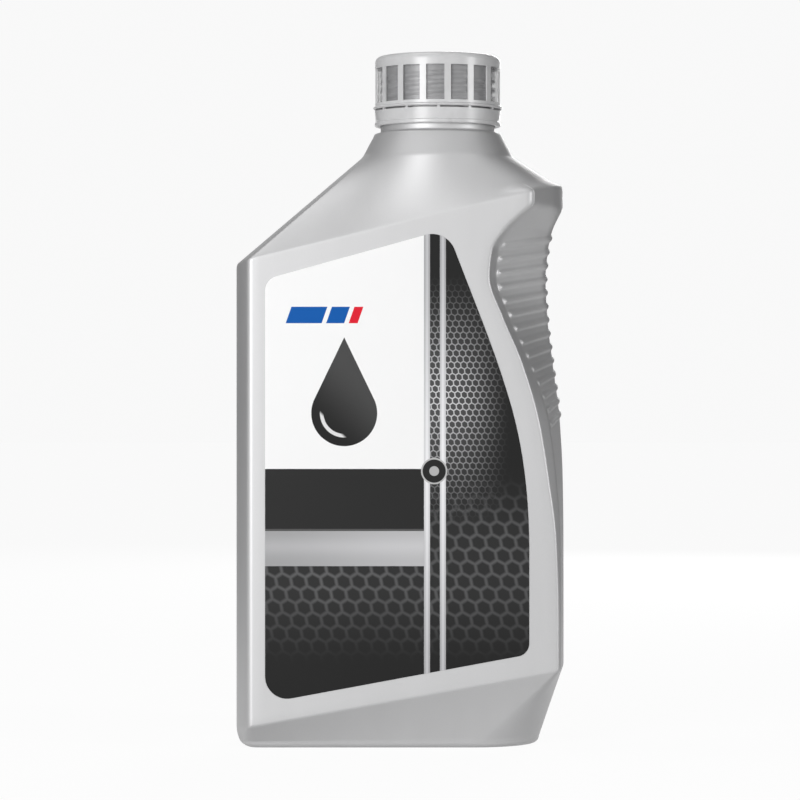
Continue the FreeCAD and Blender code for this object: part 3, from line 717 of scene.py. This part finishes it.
def cap_plastic():
    """Translucent grey polypropylene: clearer where the wall is thin between the ribs, and given a darker
    grey there as painted shade of the recessed panels.
    """
    finish = Finish("cap_plastic", {"IOR": 1.49})
    across = finish.x - NECK_X
    radius = finish.maths("SQRT", across * across + finish.y * finish.y)
    rib = finish.above(radius, CAP_RECESS_RADIUS, CAP_RECESS_EDGE)
    over = finish.above(finish.z, CAP_PANEL_TOP, CAP_PANEL_EDGE)
    under = finish.below(finish.z, CAP_PANEL_BOTTOM, CAP_PANEL_EDGE)
    wall = finish.maths("MAXIMUM", rib, finish.maths("MAXIMUM", over, under))
    cloud = finish.noise(scale=220, detail=3.0)
    grain = finish.noise(scale=900, detail=1.0)
    solid = finish.mix(cloud, *CAP_SOLID)
    # The panels' darker grey is painted shade in the recesses between the ribs; their lower alpha is the
    # thin wall's real translucency.
    panel = finish.mix(cloud, *CAP_PANEL_SHADE)
    finish.feed("Base Color", finish.mix(wall, panel, solid))
    finish.feed("Alpha", 0.38 + wall * 0.5)
    finish.feed("Roughness", 0.24 + cloud * 0.1)
    finish.bump(cloud * 0.06 + grain * 0.02, strength=0.4)
    return finish.material


def liner_foam():
    """White foamed wad with fine pores."""
    finish = Finish("liner_foam", {"Roughness": 0.75})
    pores = finish.node("ShaderNodeTexVoronoi", {}, {"Vector": finish.place, "Scale": 1600.0})
    finish.feed("Base Color", finish.mix(pores, FOAM_PALE, FOAM_PORE))
    finish.bump(pores * 0.08, strength=0.6)
    return finish.material


def amber_oil():
    """Clear amber oil, a little deeper in colour towards the bottom."""
    finish = Finish("amber_oil", {"Roughness": 0.05, "IOR": 1.47, "Alpha": 0.85})
    depth = finish.step(finish.z, OIL_FADE_TOP, 0.0) + finish.noise(scale=20) * 0.1
    finish.feed("Base Color", finish.mix(depth, OIL_PALE, OIL_DEEP))
    return finish.material


def honeycomb(finish, across, up, cell):
    """Distance from the middle of the nearest hexagon, 0 there and 1 on its walls, for a given cell width.

    Two square-set grids of cell middles are laid half a step apart, and the nearer middle is taken. The
    distance to a hexagon's side is the greatest of its three directions.
    """
    tall = cell * math.sqrt(3)

    def from_middle(shift):
        u = (across + shift * cell) % cell - cell / 2
        v = (up + shift * tall) % tall - tall / 2
        slanted = abs(u) * 0.5 + abs(v) * (math.sqrt(3) / 2)
        return finish.maths("MAXIMUM", abs(u), slanted)

    return finish.maths("MINIMUM", from_middle(0), from_middle(0.5)) / (cell / 2)


def comb_field(finish, wobble):
    """Black field of honeycomb: fine cells that light up beside the stripes, and wide dim ones below."""
    fine = honeycomb(finish, finish.x + finish.z * FINE_LEAN, finish.z * FINE_SQUASH, CELL_FINE)
    wide = honeycomb(finish, finish.x + finish.z * WIDE_LEAN, finish.z, CELL_WIDE)
    glow = finish.step(finish.x, GLOW_END, GLOW_FULL) * finish.window(finish.z, *FINE_GLOW)
    low_glow = finish.window(finish.z, *WIDE_GLOW)
    fine_light = finish.step(fine, 0.72, 0.95) * glow * (0.35 + wobble * 0.9)
    wide_light = finish.step(wide, 0.62, 1.0) * low_glow * (0.02 + wobble * 0.22)
    light = fine_light + wide_light + glow * 0.10 + low_glow * 0.02
    return finish.mix(light, COMB_INK, COMB_LIGHT)


def bands(finish, colour, left):
    """Black band, thin dark rim and silver strap, one below the other under the white field."""
    band = left * finish.window(finish.z, BAND_BOTTOM, FIELD_BOTTOM)
    rim = left * finish.window(finish.z, STRAP_TOP, BAND_BOTTOM, 0.03)
    strap = left * finish.window(finish.z, STRAP_BOTTOM, STRAP_TOP)
    across = finish.step(finish.x, PRINT_LEFT, FIELD_RIGHT)
    sheen = across * 0.5 + finish.window(finish.z, *STRAP_SHEEN) * 0.4
    colour = finish.mix(band, colour, BLACK_INK)
    colour = finish.mix(rim, colour, RIM_INK)
    return finish.mix(strap, colour, finish.mix(sheen, *STRAP_INKS))


def stripes(finish, colour):
    """Twin silver stripes down the label, brighter along their middles and at mid height."""
    for start in STRIPE_STARTS:
        end = start + STRIPE_WIDTH
        stripe = finish.window(finish.x, start, end, PRINT_EDGE)
        inset = STRIPE_SHEEN_INSET
        sheen = finish.window(finish.x, start + inset, end - inset, STRIPE_SHEEN_EDGE)
        bright = finish.window(finish.z, *STRIPE_GLOW) * 0.45 + 0.3 + sheen * 0.25
        colour = finish.mix(stripe, colour, finish.mix(bright, *STRIPE_INKS))
    return colour


def ringed_disc(finish, colour):
    """Small black disc over the stripes, with a grey rim and a grey dot."""
    across, up = finish.x - DISC_X, finish.z - DISC_Z
    from_middle = finish.maths("SQRT", across * across + up * up)
    edges = ((DISC_RADIUS, PRINT_EDGE), (DISC_RADIUS - DISC_RIM, DISC_EDGE), (DISC_DOT, DISC_EDGE))
    for (radius, soft), ink in zip(edges, DISC_INKS):
        colour = finish.mix(finish.below(from_middle, radius, soft), colour, ink)
    return colour


def drop_emblem(finish, colour):
    """A plain drop on the white field.

    The drop is a circle below and two straight sides that meet above: the half width at a height over the
    circle's tangent points falls evenly to nothing at the tip.
    """
    across, up = finish.x - DROP_X, finish.z - DROP_Z
    from_middle = finish.maths("SQRT", across * across + up * up)
    lean = math.asin(1 / DROP_TIP)
    sides = abs(across) * math.cos(lean) + up * math.sin(lean)
    upper = finish.above(up, DROP_RADIUS * math.sin(lean) - 0.01, 0.01)
    cone = finish.below(sides, DROP_RADIUS) * upper
    drop = finish.maths("MAXIMUM", finish.below(from_middle, DROP_RADIUS), cone)
    shade = finish.step(across + up, -DROP_RADIUS, DROP_RADIUS * 1.6)
    colour = finish.mix(drop, colour, finish.mix(shade, *DROP_INKS))
    glint = finish.window(from_middle, *GLINT_RADII, GLINT_EDGE)
    return finish.mix(glint * finish.below(across + up, GLINT_END, GLINT_END_EDGE), colour, GLINT_INK)


def slanted_bars(finish, colour):
    """Two blue bars and a red one in a row over the drop."""
    slanted = finish.x - finish.z * BAR_SLANT
    row = finish.window(finish.z, BAR_LOW, BAR_HIGH)
    for start, width, paint in BARS:
        colour = finish.mix(row * finish.window(slanted, start, start + width), colour, paint)
    return colour


def label_print():
    """Printed film: a white field with a plain drop, bands, twin stripes and a field of honeycomb."""
    finish = Finish("label_print", {"Specular IOR Level": 0.2})
    wobble = finish.noise(scale=28)
    left = finish.below(finish.x, FIELD_RIGHT, PRINT_EDGE)
    white = left * finish.above(finish.z, FIELD_BOTTOM)
    colour = finish.mix(white, comb_field(finish, wobble), WHITE_INK)
    colour = bands(finish, colour, left)
    colour = stripes(finish, colour)
    colour = ringed_disc(finish, colour)
    colour = drop_emblem(finish, colour)
    finish.feed("Base Color", slanted_bars(finish, colour))
    finish.feed("Roughness", 0.26 + (1 - white) * 0.06 + wobble * 0.06)
    finish.bump(finish.noise(scale=120) * 0.05, strength=0.3)
    return finish.material


def dress(node, material):
    """Puts a material in every slot of a CAD node."""
    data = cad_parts[node].data
    data.materials.clear()
    data.materials.append(material)


# Studio, in metres

EYE_HEIGHT = 0.1219
EYE_DISTANCE = 1.160
FOCAL_PIXELS = 3392.0
FRAME_PIXELS = 800.0
SENSOR = 36.0
EYE_ROW = 385.0             # row of the photograph that lies level with the eye
LAMP_AIM = (0, 0, 0.11)
LAMPS = (                   # name, place, width, height and watts
    ("key", (-0.6, -1.05, 0.3), 0.5, 0.5, 12.0),
    ("overhead", (-0.3, 0.05, 1.2), 0.35, 0.6, 2.6),
    ("grip_fill", (1.2, -0.6, 0.4), 0.12, 0.6, 6.4),
    ("back_fill", (0.3, 1.2, 0.45), 0.5, 0.5, 6.0),
)
FILL_LEVEL = 0.06           # light of the world itself
SEEN_LEVEL = 0.944          # how white the world is where it is seen
FLOOR_REACH = 6.0
FLOOR_GLOW = 0.94           # share of the seen floor that is its own white
CARD_NEAR, CARD_FAR = 0.2, 1.6      # X of a dark card's edges
CARD_BACK, CARD_FRONT = 0.55, -0.45
CARD_HEIGHT = 1.2


def camera():
    data = bpy.data.cameras.new("camera")
    data.sensor_width = SENSOR
    data.lens = SENSOR * FOCAL_PIXELS / FRAME_PIXELS
    data.shift_y = (EYE_ROW - FRAME_PIXELS / 2) / FRAME_PIXELS
    eye = bpy.data.objects.new("camera", data)
    eye.location = (0, -EYE_DISTANCE, EYE_HEIGHT)
    eye.rotation_euler = (math.pi / 2, 0, 0)
    bpy.context.scene.collection.objects.link(eye)
    bpy.context.scene.camera = eye


def lamp(name, place, width, height, watts):
    """A soft oblong light that faces the bottle."""
    data = bpy.data.lights.new(name, "AREA")
    data.shape = "RECTANGLE"
    data.size = width
    data.size_y = height
    data.energy = watts
    light = bpy.data.objects.new(name, data)
    light.location = place
    light.rotation_euler = (Vector(LAMP_AIM) - Vector(place)).to_track_quat("-Z", "Y").to_euler()
    bpy.context.scene.collection.objects.link(light)


def seen_white(tree):
    """1 for camera, glossy and transmission rays, which see the white surround."""
    path = tree.nodes.new("ShaderNodeLightPath")
    seen = path.outputs["Is Camera Ray"]
    for ray in ("Is Glossy Ray", "Is Transmission Ray"):
        either = tree.nodes.new("ShaderNodeMath")
        either.operation = "MAXIMUM"
        tree.links.new(seen, either.inputs[0])
        tree.links.new(path.outputs[ray], either.inputs[1])
        seen = either.outputs[0]
    return seen


def surround():
    """World that is white where it is seen, and a soft grey fill where it lights."""
    world = bpy.data.worlds.new("surround")
    bpy.context.scene.world = world
    world.use_nodes = True
    tree = world.node_tree
    background = tree.nodes["Background"]
    background.inputs["Color"].default_value = grey(1.0)
    level = tree.nodes.new("ShaderNodeMapRange")
    level.inputs["To Min"].default_value = FILL_LEVEL
    level.inputs["To Max"].default_value = SEEN_LEVEL
    tree.links.new(seen_white(tree), level.inputs["Value"])
    tree.links.new(level.outputs[0], background.inputs["Strength"])


def studio_sheet(name, corners):
    """A flat four-cornered piece of the studio, with a new material and no part in the bottle."""
    mesh = bpy.data.meshes.new(name)
    mesh.from_pydata(corners, [], [(0, 1, 2, 3)])
    sheet = bpy.data.objects.new(name, mesh)
    bpy.context.scene.collection.objects.link(sheet)
    material = bpy.data.materials.new(name)
    material.use_nodes = True
    mesh.materials.append(material)
    return sheet, material.node_tree


def floor():
    """Pale floor: mostly its own white where it is seen, and partly lit, which keeps the shadow."""
    reach = FLOOR_REACH
    corners = [(-reach, -reach, 0), (reach, -reach, 0), (reach, reach, 0), (-reach, reach, 0)]
    _, tree = studio_sheet("floor", corners)
    shader = tree.nodes["Principled BSDF"]
    shader.inputs["Roughness"].default_value = 0.9
    tone = tree.nodes.new("ShaderNodeMix")
    tone.data_type = "RGBA"
    tone.inputs[6].default_value = grey(0.35)
    tone.inputs[7].default_value = grey(0.95)
    tree.links.new(seen_white(tree), tone.inputs[0])
    tree.links.new(tone.outputs[2], shader.inputs["Base Color"])
    share = tree.nodes.new("ShaderNodeMath")
    share.operation = "MULTIPLY"
    share.inputs[1].default_value = FLOOR_GLOW
    tree.links.new(seen_white(tree), share.inputs[0])
    glow = tree.nodes.new("ShaderNodeEmission")
    blend = tree.nodes.new("ShaderNodeMixShader")
    tree.links.new(share.outputs[0], blend.inputs[0])
    tree.links.new(shader.outputs[0], blend.inputs[1])
    tree.links.new(glow.outputs[0], blend.inputs[2])
    tree.links.new(blend.outputs[0], tree.nodes["Material Output"].inputs["Surface"])


def dark_card(name, side):
    """Black card beside the bottle and behind it, out of the camera's sight, which its side mirrors."""
    near, far = side * CARD_NEAR, side * CARD_FAR
    corners = [(near, CARD_BACK, 0), (far, CARD_FRONT, 0),
               (far, CARD_FRONT, CARD_HEIGHT), (near, CARD_BACK, CARD_HEIGHT)]
    card, tree = studio_sheet(name, corners)
    card.visible_camera = False
    card.visible_shadow = False
    shader = tree.nodes["Principled BSDF"]
    shader.inputs["Base Color"].default_value = grey(0.02)
    shader.inputs["Roughness"].default_value = 1.0


def studio():
    camera()
    floor()
    surround()
    dark_card("left_card", -1)
    dark_card("right_card", 1)
    for name, place, width, height, watts in LAMPS:
        lamp(name, place, width, height, watts)
    bpy.context.scene.view_settings.view_transform = "Standard"


bottle_shell().data.materials.append(silver_plastic())
cap_finish = cap_plastic()
label_finish = label_print()
dress("cap", cap_finish)
dress("tamper_band", cap_finish)
dress("cap_liner", liner_foam())
dress("oil", amber_oil())
dress("front_label", label_finish)
dress("back_label", label_finish)
studio()
